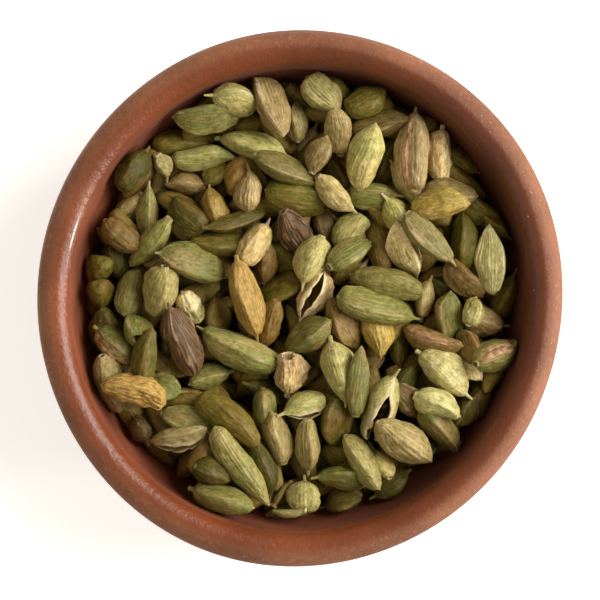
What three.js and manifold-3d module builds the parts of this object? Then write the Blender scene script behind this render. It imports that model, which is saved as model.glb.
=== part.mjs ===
// A small round earthenware dish, filled with a heap of green cardamom pods.
// Millimetres, +Z up. The origin is the middle of the flat foot, and the dish stands on z = 0.

import * as THREE from "three";
import { mergeVertices } from "three/addons/utils/BufferGeometryUtils.js";
import Module from "manifold-3d";

const wasm = await Module();
wasm.setup();

// The dish: a thick wheel-thrown wall that ends in a plump round lip, slightly out of round.
const DISH_RADIUS = 60;
const DISH_HEIGHT = 38;
const LIP_RADIUS = 4;
const FOOT_RADIUS = 42;
const FOOT_EDGE = 2.5;
const FOOT_FLARE = 7;
const FOOT_RISE = 9.5;
const OUTSIDE_DROP = 14;
const FLOOR = 6.5;
const FLOOR_RADIUS = 32;
const INSIDE_DROP = 19;
const INSIDE_CORNER = 13;
const OUT_OF_ROUND = 0.013;
const LONG_AXIS_DEG = 72;
const DISH_SIDES = 64;
const DISH_STEPS = 6;
const SAME_PLACE = 0.05;

// The heap: packed pods, a little higher in the middle than at the wall, and all below the lip.
const HEAP_GAP = 0.3;
const HEAP_MIDDLE = 33.4;
const HEAP_EDGE = 29.6;
const HOLLOW_DEPTH = 3.4;
const GRID_STEP = 2.3;

// One pod, as it shows on top of the heap.
const POD_COUNT = 150;
const POD_LENGTH = 14.5;
const POD_WIDTH = 6.4;
const POD_SINK = 2.6;
const SMALLEST_POD = 0.85;
const LARGEST_POD = 1.15;
const GOLDEN_ANGLE = Math.PI * (3 - Math.sqrt(5));

// A plain congruential generator, so that the heap is the same on every run.
const SEED = 20;
const MULTIPLIER = 1664525;
const INCREMENT = 1013904223;
const MODULUS = 2 ** 32;

const CLAY = new THREE.MeshStandardMaterial({ color: 0x9a5f42, roughness: 0.6, metalness: 0 });
const PODS = new THREE.MeshStandardMaterial({ color: 0x8a8a50, roughness: 0.8, metalness: 0 });

const LIP_MIDDLE = DISH_RADIUS - LIP_RADIUS;
const LIP_HEIGHT = DISH_HEIGHT - LIP_RADIUS;
const INNER_RADIUS = DISH_RADIUS - 2 * LIP_RADIUS;

// A function that gives the next number from 0 to 1 each time it is called.
function randomNumbers(seed) {
  let state = seed;
  return () => {
    state = (state * MULTIPLIER + INCREMENT) % MODULUS;
    return state / MODULUS;
  };
}

// The inside of the dish, from under its lip down to the middle of its floor, moved inwards by a gap.
// It leaves the lip upright and meets the floor level.
function insideOutline(path, gap) {
  const radius = INNER_RADIUS - gap;
  const floor = FLOOR + gap;
  const corner = FLOOR_RADIUS + INSIDE_CORNER;
  path.bezierCurveTo(radius, LIP_HEIGHT - INSIDE_DROP, corner, floor, FLOOR_RADIUS, floor);
  path.lineTo(0, floor);
}

// The outside flares out from the foot and comes up under the lip upright.
function outsideOutline(path) {
  const flare = FOOT_RADIUS + FOOT_FLARE;
  const rise = FOOT_EDGE + FOOT_RISE;
  path.moveTo(0, 0);
  path.lineTo(FOOT_RADIUS - FOOT_EDGE, 0);
  path.quadraticCurveTo(FOOT_RADIUS, 0, FOOT_RADIUS, FOOT_EDGE);
  path.bezierCurveTo(flare, rise, DISH_RADIUS, LIP_HEIGHT - OUTSIDE_DROP, DISH_RADIUS, LIP_HEIGHT);
}

function dishOutline() {
  const path = new THREE.Path();
  outsideOutline(path);
  path.absarc(LIP_MIDDLE, LIP_HEIGHT, LIP_RADIUS, 0, Math.PI, false);
  insideOutline(path, 0);
  return path;
}

// What the dish can hold up to its lip, as the outline of a turned solid.
function cavityOutline() {
  const path = new THREE.Path();
  path.moveTo(0, LIP_HEIGHT);
  path.lineTo(INNER_RADIUS - HEAP_GAP, LIP_HEIGHT);
  insideOutline(path, HEAP_GAP);
  return path;
}

// An outline's points, without those that lie on the one before.
function pointsOf(path, divisions) {
  return path.getPoints(divisions).filter((p, i, all) => i === 0 || p.distanceTo(all[i - 1]) > SAME_PLACE);
}

// A solid turned from points that run anticlockwise, from the axis out, up and back to the axis.
// The lathe turns about Y, so the result is stood up on Z.
function turned(points, sides) {
  return new THREE.LatheGeometry(points, sides).rotateX(Math.PI / 2);
}

// Thrown dishes come out slightly oval: longer along one axis by the share that the other loses.
function outOfRound(geometry) {
  const turn = THREE.MathUtils.degToRad(LONG_AXIS_DEG);
  geometry.rotateZ(-turn);
  geometry.scale(1 + OUT_OF_ROUND, 1 - OUT_OF_ROUND, 1);
  return geometry.rotateZ(turn);
}

// The height of the heap's crown at a radius.
function crown(radius) {
  const share = radius / INNER_RADIUS;
  return HEAP_MIDDLE - (HEAP_MIDDLE - HEAP_EDGE) * share * share;
}

// Pods in the top layer, spread like seeds on a flower head, each turned its own way.
function topLayer() {
  const random = randomNumbers(SEED);
  const pods = [];
  for (let i = 0; i < POD_COUNT; i += 1) {
    const radius = (INNER_RADIUS - POD_WIDTH / 2) * Math.sqrt((i + 0.5) / POD_COUNT);
    const around = i * GOLDEN_ANGLE;
    const grown = THREE.MathUtils.lerp(SMALLEST_POD, LARGEST_POD, random());
    pods.push({
      x: radius * Math.cos(around),
      y: radius * Math.sin(around),
      heading: Math.PI * random(),
      long: (POD_LENGTH / 2) * grown,
      wide: (POD_WIDTH / 2) * grown,
      top: crown(radius) - POD_SINK * random(),
    });
  }
  return pods;
}

// How high the heap stands at a place: the highest pod there, or the hollow between them.
function heapHeight(pods, x, y) {
  let height = crown(Math.hypot(x, y)) - HOLLOW_DEPTH;
  for (const pod of pods) {
    const dx = x - pod.x;
    const dy = y - pod.y;
    const along = (dx * Math.cos(pod.heading) + dy * Math.sin(pod.heading)) / pod.long;
    const across = (dy * Math.cos(pod.heading) - dx * Math.sin(pod.heading)) / pod.wide;
    const inside = 1 - along * along - across * across;
    if (inside > 0) height = Math.max(height, pod.top - pod.wide * (1 - Math.sqrt(inside)));
  }
  return height;
}

// A block whose upper side follows the pods.
function unevenBlock() {
  const pods = topLayer();
  const cells = Math.ceil((2 * DISH_RADIUS) / GRID_STEP);
  const block = new THREE.BoxGeometry(cells * GRID_STEP, cells * GRID_STEP, DISH_HEIGHT, cells, cells, 1);
  const places = block.getAttribute("position");
  for (let i = 0; i < places.count; i += 1) {
    if (places.getZ(i) > 0) places.setZ(i, heapHeight(pods, places.getX(i), places.getY(i)));
  }
  return block;
}

function toSolid(geometry) {
  const bare = geometry.clone();
  bare.deleteAttribute("normal");
  bare.deleteAttribute("uv");
  const merged = mergeVertices(bare, 1e-3);
  return new wasm.Manifold(
    new wasm.Mesh({
      numProp: 3,
      vertProperties: merged.getAttribute("position").array,
      triVerts: new Uint32Array(merged.index.array),
    }),
  );
}

function toGeometry(solid) {
  const mesh = solid.getMesh();
  return new THREE.BufferGeometry()
    .setAttribute("position", new THREE.BufferAttribute(mesh.vertProperties, 3))
    .setIndex(new THREE.BufferAttribute(mesh.triVerts, 1));
}

function makeDish() {
  const dish = new THREE.Mesh(outOfRound(turned(pointsOf(dishOutline(), DISH_STEPS), DISH_SIDES)), CLAY);
  dish.name = "dish";
  return dish;
}

function makePodHeap() {
  const upwards = pointsOf(cavityOutline(), DISH_STEPS).reverse();
  const cavity = toSolid(outOfRound(turned(upwards, DISH_SIDES)));
  const heap = new THREE.Mesh(toGeometry(cavity.intersect(toSolid(unevenBlock()))), PODS);
  heap.name = "pod_heap";
  return heap;
}

const filledDish = new THREE.Group();
filledDish.add(makeDish(), makePodHeap());

export default filledDish;
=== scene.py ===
"""A small round earthenware dish full of dried green cardamom pods.

Metres, +Z up. The dish stands on z = 0 with its middle over the origin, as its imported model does.
Pixels of the photograph are counted from the top left corner of its 600 by 600 frame.
"""

import math

import bpy
import numpy as np
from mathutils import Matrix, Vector


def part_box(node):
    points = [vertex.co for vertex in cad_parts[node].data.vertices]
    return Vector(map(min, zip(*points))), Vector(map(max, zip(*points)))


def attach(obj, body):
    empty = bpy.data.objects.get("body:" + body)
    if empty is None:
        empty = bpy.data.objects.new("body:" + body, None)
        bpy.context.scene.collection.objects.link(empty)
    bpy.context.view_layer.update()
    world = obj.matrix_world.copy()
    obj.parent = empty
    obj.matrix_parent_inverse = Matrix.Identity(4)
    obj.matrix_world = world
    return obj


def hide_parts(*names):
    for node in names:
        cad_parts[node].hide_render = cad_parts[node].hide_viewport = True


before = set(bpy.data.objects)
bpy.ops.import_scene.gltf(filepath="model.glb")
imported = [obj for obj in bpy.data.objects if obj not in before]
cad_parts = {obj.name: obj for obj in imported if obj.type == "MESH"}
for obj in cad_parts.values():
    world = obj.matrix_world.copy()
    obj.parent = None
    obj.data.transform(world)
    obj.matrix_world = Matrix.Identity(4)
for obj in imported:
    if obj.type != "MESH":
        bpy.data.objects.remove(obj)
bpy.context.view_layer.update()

# ---------------------------------------------------------------------------------------------
# The dish: one piece of red earthenware, thrown on a wheel with a thick wall and a plump round
# lip, and gone a little oval in the kiln. It is bare outside. A thin clear glaze covers the
# inside up to the crest of the lip.
dish_low, dish_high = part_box("dish")
DISH_HEIGHT = dish_high.z
DISH_RADIUS = (dish_high.x - dish_low.x + dish_high.y - dish_low.y) / 4
LIP_RADIUS = 0.004
LIP_MIDDLE = DISH_RADIUS - LIP_RADIUS
LIP_HEIGHT = DISH_HEIGHT - LIP_RADIUS
INNER_RADIUS = DISH_RADIUS - 2 * LIP_RADIUS
FOOT_RADIUS = 0.042
FOOT_EDGE = 0.0025
FOOT_FLARE = 0.007
FOOT_RISE = 0.0095
OUTSIDE_DROP = 0.014
DISH_FLOOR = 0.0065
FLOOR_RADIUS = 0.032
INSIDE_DROP = 0.019
INSIDE_CORNER = 0.013
OUT_OF_ROUND = 0.013
LONG_AXIS = math.radians(72)
DISH_SIDES = 288
WHEEL_MARK_DEPTH = 0.00009
WHEEL_MARK_PITCH = 0.0031
HAND_WOBBLE = 0.00012
GLAZE_STARTS = math.radians(62)
GLAZE_WHOLE = math.radians(104)
GRITTY_MIDDLE = math.radians(18)
GRITTY_HALF = math.radians(62)
POLISHED_MIDDLE = math.radians(158)
POLISHED_HALF = math.radians(30)
# The side of the dish whose glaze is painted lighter, as painted light from the window; the far side is
# painted darker, as painted shade.
GLAZE_LIT_SIDE = math.radians(205)
CLAY_DARK = (118, 69, 43)
CLAY_LIGHT = (142, 88, 58)
CLAY_CLOUDS_PER_METRE = 60
CLAY_DUST = (190, 146, 120)
CLAY_DUST_PER_METRE = 900
CLAY_DUST_MOST = 0.28
CLAY_PITS_PER_METRE = 800
CLAY_PIT_DEPTH = 0.00028
CLAY_PIT_STRENGTH = 0.7
BARE_ROUGHNESS = 0.72
GLAZE_ROUGHNESS = 0.33
HOLLOW_ROUGHNESS = 0.9
GLOSS_PATCHES_PER_METRE = 800
GLOSS_LEAST = 0.03
GLOSS_MOST = 0.34
GLOSS_ROUGHNESS = 0.12
# The glaze's tone on the side facing the window and on the far side; the difference between them is painted
# light and painted shade.
GLAZE_ON_LIT_SIDE = (0.96, 0.65, 0.45, 1.0)
GLAZE_ON_SHADED_SIDE = (0.52, 0.35, 0.25, 1.0)


def curve(guides, steps):
    """Points along a Bezier curve with two to four guide points, without the first of them."""
    share = np.linspace(0, 1, steps + 1)[1:, None]
    order = len(guides) - 1
    return sum(
        math.comb(order, i) * (1 - share) ** (order - i) * share**i * np.array(guide)
        for i, guide in enumerate(guides)
    )


def smooth_step(low, high, value):
    """From 0 at low to 1 at high, level at both ends."""
    share = np.clip((value - low) / (high - low), 0, 1)
    return share * share * (3 - 2 * share)


def skin_faces(rings, spokes):
    """Faces of a closed skin: one end point, rings of points in order, and the other end point."""
    spoke = np.arange(spokes)
    beside = np.roll(spoke, -1)
    start = 1 + np.arange(rings - 1)[:, None] * spokes
    corners = (start + spoke, start + beside, start + spokes + beside, start + spokes + spoke)
    walls = np.stack(corners, -1).reshape(-1, 4)
    last_ring = 1 + (rings - 1) * spokes
    first_end = np.stack([np.zeros_like(spoke), 1 + beside, 1 + spoke], -1)
    last_end = np.stack([last_ring + spoke, last_ring + beside, np.full_like(spoke, last_ring + spokes)], -1)
    return walls, np.concatenate([first_end, last_end])


def smooth_mesh(name, points, quads, triangles, marks):
    """A mesh with smooth faces. A mark is one number, a place or a colour for each point."""
    mesh = bpy.data.meshes.new(name)
    corners = np.concatenate([quads.ravel(), triangles.ravel()])
    sizes = np.concatenate([np.full(len(quads), 4), np.full(len(triangles), 3)])
    mesh.vertices.add(len(points))
    mesh.vertices.foreach_set("co", points.astype(np.float32).ravel())
    mesh.loops.add(len(corners))
    mesh.loops.foreach_set("vertex_index", corners.astype(np.int32))
    mesh.polygons.add(len(sizes))
    mesh.polygons.foreach_set("loop_start", (np.cumsum(sizes) - sizes).astype(np.int32))
    fields = {1: ("FLOAT", "value"), 3: ("FLOAT_VECTOR", "vector"), 4: ("FLOAT_COLOR", "color")}
    for mark, values in marks.items():
        kind, field = fields[values.size // len(points)]
        mesh.attributes.new(mark, kind, "POINT").data.foreach_set(field, values.astype(np.float32).ravel())
    mesh.update(calc_edges=True)
    mesh.shade_smooth()
    return mesh


def show(name, mesh, material, node=None):
    """A piece of the object, which rides on its one body and may stand for a node of the model."""
    piece = bpy.data.objects.new(name, mesh)
    bpy.context.scene.collection.objects.link(piece)
    mesh.materials.clear()
    mesh.materials.append(material)
    if node:
        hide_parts(node)
    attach(piece, "root")
    return piece


def oval(points):
    """Makes what is round as oval as the dish."""
    cos, sin = math.cos(LONG_AXIS), math.sin(LONG_AXIS)
    turn = np.array([[cos, sin], [-sin, cos]])
    stretch = turn.T @ np.diag([1 + OUT_OF_ROUND, 1 - OUT_OF_ROUND]) @ turn
    made = points.copy()
    made[..., :2] = points[..., :2] @ stretch.T
    return made


def turned(outline, sides):
    """Points of a turned shape, ring by ring, from an outline of (radius, height)."""
    around = np.linspace(0, 2 * math.pi, sides, endpoint=False)
    radius = outline[:, 0, None]
    height = np.broadcast_to(outline[:, 1, None], (len(outline), sides))
    return np.stack([radius * np.cos(around), radius * np.sin(around), height], -1)


foot_line = curve([(0, 0), (FOOT_RADIUS - FOOT_EDGE, 0)], 10)
foot_turn = curve([(FOOT_RADIUS - FOOT_EDGE, 0), (FOOT_RADIUS, 0), (FOOT_RADIUS, FOOT_EDGE)], 6)
outside_wall = curve(
    [
        (FOOT_RADIUS, FOOT_EDGE),
        (FOOT_RADIUS + FOOT_FLARE, FOOT_EDGE + FOOT_RISE),
        (DISH_RADIUS, LIP_HEIGHT - OUTSIDE_DROP),
        (DISH_RADIUS, LIP_HEIGHT),
    ],
    44,
)
lip_turn = np.linspace(0, math.pi, 41)[1:]
lip = np.stack([LIP_MIDDLE + LIP_RADIUS * np.cos(lip_turn), LIP_HEIGHT + LIP_RADIUS * np.sin(lip_turn)], -1)
inside_wall = curve(
    [
        (INNER_RADIUS, LIP_HEIGHT),
        (INNER_RADIUS, LIP_HEIGHT - INSIDE_DROP),
        (FLOOR_RADIUS + INSIDE_CORNER, DISH_FLOOR),
        (FLOOR_RADIUS, DISH_FLOOR),
    ],
    40,
)
inside_floor = curve([(FLOOR_RADIUS, DISH_FLOOR), (0, DISH_FLOOR)], 8)[:-1]
outline = np.concatenate([foot_line, foot_turn, outside_wall, lip, inside_wall, inside_floor])
glazed = np.concatenate(
    [
        np.zeros(len(foot_line) + len(foot_turn) + len(outside_wall)),
        smooth_step(GLAZE_STARTS, GLAZE_WHOLE, lip_turn),
        np.ones(len(inside_wall) + len(inside_floor)),
    ]
)
dish_rings = turned(outline, DISH_SIDES)
dish_angle = np.arctan2(dish_rings[..., 1], dish_rings[..., 0])
spiral = np.sin(2 * math.pi * dish_rings[..., 2] / WHEEL_MARK_PITCH + dish_angle)
on_wall = smooth_step(FOOT_EDGE, 3 * FOOT_EDGE, dish_rings[..., 2]) * (1 - 0.6 * glazed[:, None])
wobble = np.sin(3 * dish_angle + 0.7) + 0.6 * np.sin(5 * dish_angle - 1.1)
outward = WHEEL_MARK_DEPTH * spiral * on_wall + HAND_WOBBLE * wobble * on_wall
dish_rings[..., 0] += outward * np.cos(dish_angle)
dish_rings[..., 1] += outward * np.sin(dish_angle)
dish_rings = oval(dish_rings)


def with_ends(first, rings, last):
    """What the points of a closed skin say, from its one end point over its rings to the other."""
    return np.concatenate([[first], rings.reshape(-1, *np.shape(first)), [last]])


def round_from(angle, middle):
    """How far round the dish an angle is from a middle, 0 to half a turn."""
    return np.abs((angle - middle + math.pi) % (2 * math.pi) - math.pi)


dish_height = dish_rings[..., 2]
in_hollow = smooth_step(LIP_HEIGHT + 0.65 * LIP_RADIUS, LIP_HEIGHT + 0.1 * LIP_RADIUS, dish_height)
on_lip = smooth_step(LIP_HEIGHT, LIP_HEIGHT + 0.5 * LIP_RADIUS, dish_height) * (1 - 0.8 * glazed[:, None])
gritty = on_lip * smooth_step(GRITTY_HALF, 0.5 * GRITTY_HALF, round_from(dish_angle, GRITTY_MIDDLE))
polished = smooth_step(POLISHED_HALF, 0.3 * POLISHED_HALF, round_from(dish_angle, POLISHED_MIDDLE))
# A share from 0 on the far side of the dish to 1 on the side facing the window, for the painted light and
# shade on the glaze.
glaze_light_share = 0.5 + 0.5 * np.cos(dish_angle - GLAZE_LIT_SIDE)
dish_marks = {
    "glaze": with_ends(0, np.repeat(glazed, DISH_SIDES), 1),
    "hollow": with_ends(0, in_hollow * glazed[:, None], 1),
    "gritty": with_ends(0, gritty, 0),
    "polished": with_ends(0, polished * glazed[:, None], 0),
    "glaze_light_share": with_ends(0.5, glaze_light_share, 0.5),
}
dish_points = with_ends((0, 0, 0), dish_rings, (0, 0, DISH_FLOOR))
dish_mesh = smooth_mesh("dish_skin", dish_points, *skin_faces(len(outline), DISH_SIDES), dish_marks)


def screen(red, green, blue):
    """A colour as a screen shows it, 0 to 255, in the linear numbers that a shader takes."""
    shares = np.array([red, green, blue]) / 255
    linear = np.where(shares <= 0.04045, shares / 12.92, ((shares + 0.055) / 1.055) ** 2.4)
    return (*linear.tolist(), 1.0)


def feed(tree, socket, value):
    """Gives a socket a fixed value, or joins another node's output to it."""
    if isinstance(value, bpy.types.NodeSocket):
        tree.links.new(value, socket)
    else:
        socket.default_value = value


def add(tree, kind, inputs=None, **settings):
    """A new node with its settings, and its inputs by name or number."""
    node = tree.nodes.new(kind)
    for setting, value in settings.items():
        setattr(node, setting, value)
    for socket, value in (inputs or {}).items():
        feed(tree, node.inputs[socket], value)
    return node


def laid_over(tree, share, under, over, way="MIX"):
    """A colour laid over another by a share from 0 to 1."""
    values = {0: share, 6: under, 7: over}
    return add(tree, "ShaderNodeMix", values, data_type="RGBA", blend_type=way).outputs[2]


def clouds(tree, place, scale, detail=2.0, roughness=0.5):
    """Soft noise from 0 to 1, with a scale in spots to the metre."""
    values = {"Vector": place, "Scale": scale, "Detail": detail, "Roughness": roughness}
    return add(tree, "ShaderNodeTexNoise", values).outputs["Fac"]


def between(tree, value, low, high, bottom=0.0, top=1.0):
    """A smooth step from bottom to top as a value goes from low to high."""
    values = {0: value, 1: low, 2: high, 3: bottom, 4: top}
    return add(tree, "ShaderNodeMapRange", values, interpolation_type="SMOOTHSTEP").outputs[0]


def worked_out(tree, operation, first, second=0.0, third=0.0):
    """A number worked out from others."""
    return add(tree, "ShaderNodeMath", {0: first, 1: second, 2: third}, operation=operation).outputs[0]


def mark_of(tree, name, output="Fac"):
    """What a mesh's points say under a name."""
    return add(tree, "ShaderNodeAttribute", attribute_name=name).outputs[output]


def own_place(tree):
    """Where a point is in its piece's own frame."""
    return add(tree, "ShaderNodeTexCoord").outputs["Object"]


def relief(tree, shader, height, strength, depth):
    """Makes a shader's surface rise and fall with a height from 0 to 1."""
    bump = add(tree, "ShaderNodeBump", {"Strength": strength, "Distance": depth, "Height": height})
    feed(tree, shader.inputs["Normal"], bump.outputs["Normal"])


def new_finish(name):
    """A material, its tree and its shader."""
    material = bpy.data.materials.new(name)
    material.use_nodes = True
    return material, material.node_tree, material.node_tree.nodes["Principled BSDF"]


clay, clay_tree, clay_shader = new_finish("fired_clay")
clay_place = own_place(clay_tree)
glaze = mark_of(clay_tree, "glaze")
bare = worked_out(clay_tree, "SUBTRACT", 1.0, glaze)
open_glaze = worked_out(clay_tree, "SUBTRACT", glaze, mark_of(clay_tree, "hollow"))
clay_cloud = between(clay_tree, clouds(clay_tree, clay_place, CLAY_CLOUDS_PER_METRE, 4.0), 0.3, 0.7)
clay_grain = clouds(clay_tree, clay_place, CLAY_DUST_PER_METRE, 3.0, 0.6)
clay_colour = laid_over(clay_tree, clay_cloud, screen(*CLAY_DARK), screen(*CLAY_LIGHT))
dust = worked_out(clay_tree, "MULTIPLY", between(clay_tree, clay_grain, 0.5, 0.8, 0.0, CLAY_DUST_MOST), bare)
clay_colour = laid_over(clay_tree, dust, clay_colour, screen(*CLAY_DUST))
# The glaze darkens the clay, and its tone goes from darker to lighter round the dish: painted shade away from
# the window, painted light on the side facing it.
glaze_tone_and_painted_light = laid_over(clay_tree, mark_of(clay_tree, "glaze_light_share"), GLAZE_ON_SHADED_SIDE, GLAZE_ON_LIT_SIDE)
glazed_colour_and_painted_light = laid_over(clay_tree, 1.0, clay_colour, glaze_tone_and_painted_light, "MULTIPLY")
clay_colour = laid_over(clay_tree, glaze, clay_colour, glazed_colour_and_painted_light)
feed(clay_tree, clay_shader.inputs["Base Color"], clay_colour)
in_the_dish = mark_of(clay_tree, "hollow")
glaze_roughness = between(clay_tree, in_the_dish, 0.0, 1.0, GLAZE_ROUGHNESS, HOLLOW_ROUGHNESS)
roughness = between(clay_tree, glaze, 0.0, 1.0, BARE_ROUGHNESS, glaze_roughness)
feed(clay_tree, clay_shader.inputs["Roughness"], roughness)
gloss_cloud = clouds(clay_tree, clay_place, GLOSS_PATCHES_PER_METRE, 3.0, 0.6)
gloss_patches = between(clay_tree, gloss_cloud, 0.36, 0.60, 0.4, 1.0)
gloss_here = between(clay_tree, mark_of(clay_tree, "polished"), 0.0, 1.0, GLOSS_LEAST, GLOSS_MOST)
gloss = worked_out(clay_tree, "MULTIPLY", gloss_patches, gloss_here)
gloss = worked_out(clay_tree, "MULTIPLY", open_glaze, gloss)
feed(clay_tree, clay_shader.inputs["Coat Weight"], gloss)
clay_shader.inputs["Coat Roughness"].default_value = GLOSS_ROUGHNESS
clay_pits = clouds(clay_tree, clay_place, CLAY_PITS_PER_METRE, 4.0, 0.65)
relief(clay_tree, clay_shader, clay_pits, CLAY_PIT_STRENGTH, CLAY_PIT_DEPTH)
show("dish_clay", dish_mesh, clay, "dish")

# ---------------------------------------------------------------------------------------------
# The core: a dark lumpy mass under the pods, so that no light comes up from the dish's floor. It
# stands for the pods at the bottom of the dish, which nothing shows, and fits the clay closely.
CORE_GAP = 0.0004
CORE_TOP = 0.0125
CORE_SIDES = 96
CORE_LUMP = 0.0011
CORE_LUMP_ACROSS = 0.007
CORE_DARK = (78, 64, 36)
CORE_LIGHT = (116, 98, 58)
CORE_SPOTS_PER_METRE = 260
CORE_CRUMB_DEPTH = 0.001

fitted = inside_wall[(inside_wall[:, 1] < CORE_TOP) & (inside_wall[:, 1] > DISH_FLOOR + CORE_GAP)][::-1]
core_side = fitted - np.array([CORE_GAP, 0])
core_bottom = curve([(0, DISH_FLOOR + CORE_GAP), (FLOOR_RADIUS, DISH_FLOOR + CORE_GAP)], 4)
core_lid = curve([(core_side[-1, 0], CORE_TOP), (0, CORE_TOP)], 36)[:-1]
core_outline = np.concatenate([core_bottom, core_side, core_lid])
core_rings = oval(turned(core_outline, CORE_SIDES))
lid = slice(len(core_bottom) + len(core_side), None)
lumps_across, lumps_up = core_rings[lid, :, 0] / CORE_LUMP_ACROSS, core_rings[lid, :, 1] / CORE_LUMP_ACROSS
core_rings[lid, :, 2] += CORE_LUMP * np.sin(lumps_across * 6) * np.cos(lumps_up * 5 + 1)
core_points = with_ends((0, 0, DISH_FLOOR + CORE_GAP), core_rings, (0, 0, CORE_TOP))
core_mesh = smooth_mesh("core_skin", core_points, *skin_faces(len(core_outline), CORE_SIDES), {})

core_finish, core_tree, core_shader = new_finish("pod_dust")
core_cloud = clouds(core_tree, own_place(core_tree), CORE_SPOTS_PER_METRE, 4.0, 0.6)
core_colour = laid_over(core_tree, core_cloud, screen(*CORE_DARK), screen(*CORE_LIGHT))
feed(core_tree, core_shader.inputs["Base Color"], core_colour)
core_shader.inputs["Roughness"].default_value = 0.9
relief(core_tree, core_shader, core_cloud, 0.8, CORE_CRUMB_DEPTH)
show("heap_core", core_mesh, core_finish, "pod_heap")

# ---------------------------------------------------------------------------------------------
# The pods: seed capsules of the cardamom plant, picked green, dried, and poured loose into the dish.
# Each is dropped where the photograph shows it, and takes the tilt in which it comes to lie lowest
# on the wall of the dish and on what fell before it. Their husks are made in the sections below.
CAMERA_HEIGHT = 0.484
PIXEL = 0.0002262
FRAME_PIXELS = 600
MIDDLE_PIXEL = FRAME_PIXELS / 2
CAMERA_X = 0.00007
CAMERA_Y = -0.00041
BED_STEP = 0.0006
SKIN_GIVES = 0.06
SLIDE_STEP = 0.0007
SLIDE_COST = 1.3
BEAK_RADIUS = 0.00038
BEAK_LENGTHS = (0.0009, 0.0021)
BEAKED = 0.45
POINT_LENGTH = 0.0003
STALK_RADIUS = 0.00050
COLLAR_RADIUS = 0.00088
COLLAR_DEPTH = 0.0007
COLLARED = 0.22
COLLARED_OR_STALKED = 0.42
NECK_LENGTHS = {"collar": 0.0006, "stalk": 0.0013, "plain": 0.0002}
OPEN_TIP_WIDTH = 0.62
OPEN_STEM_WIDTH = 0.85

bed_axis = np.arange(-DISH_RADIUS, DISH_RADIUS + BED_STEP, BED_STEP) + BED_STEP / 2
bed_places = np.stack(np.meshgrid(bed_axis, bed_axis, indexing="ij"), -1)
along_axis = np.array([math.cos(LONG_AXIS), math.sin(LONG_AXIS)])
across_axis = np.array([-math.sin(LONG_AXIS), math.cos(LONG_AXIS)])
bed_radius = np.hypot(
    bed_places @ along_axis / (1 + OUT_OF_ROUND), bed_places @ across_axis / (1 - OUT_OF_ROUND)
)
hollow = np.concatenate([lip[len(lip) // 2 :], inside_wall, inside_floor])[::-1]
bed = np.interp(bed_radius, hollow[:, 0], hollow[:, 1])
bed = np.where(bed_radius < core_side[-1, 0], np.maximum(bed, CORE_TOP), bed)


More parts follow.
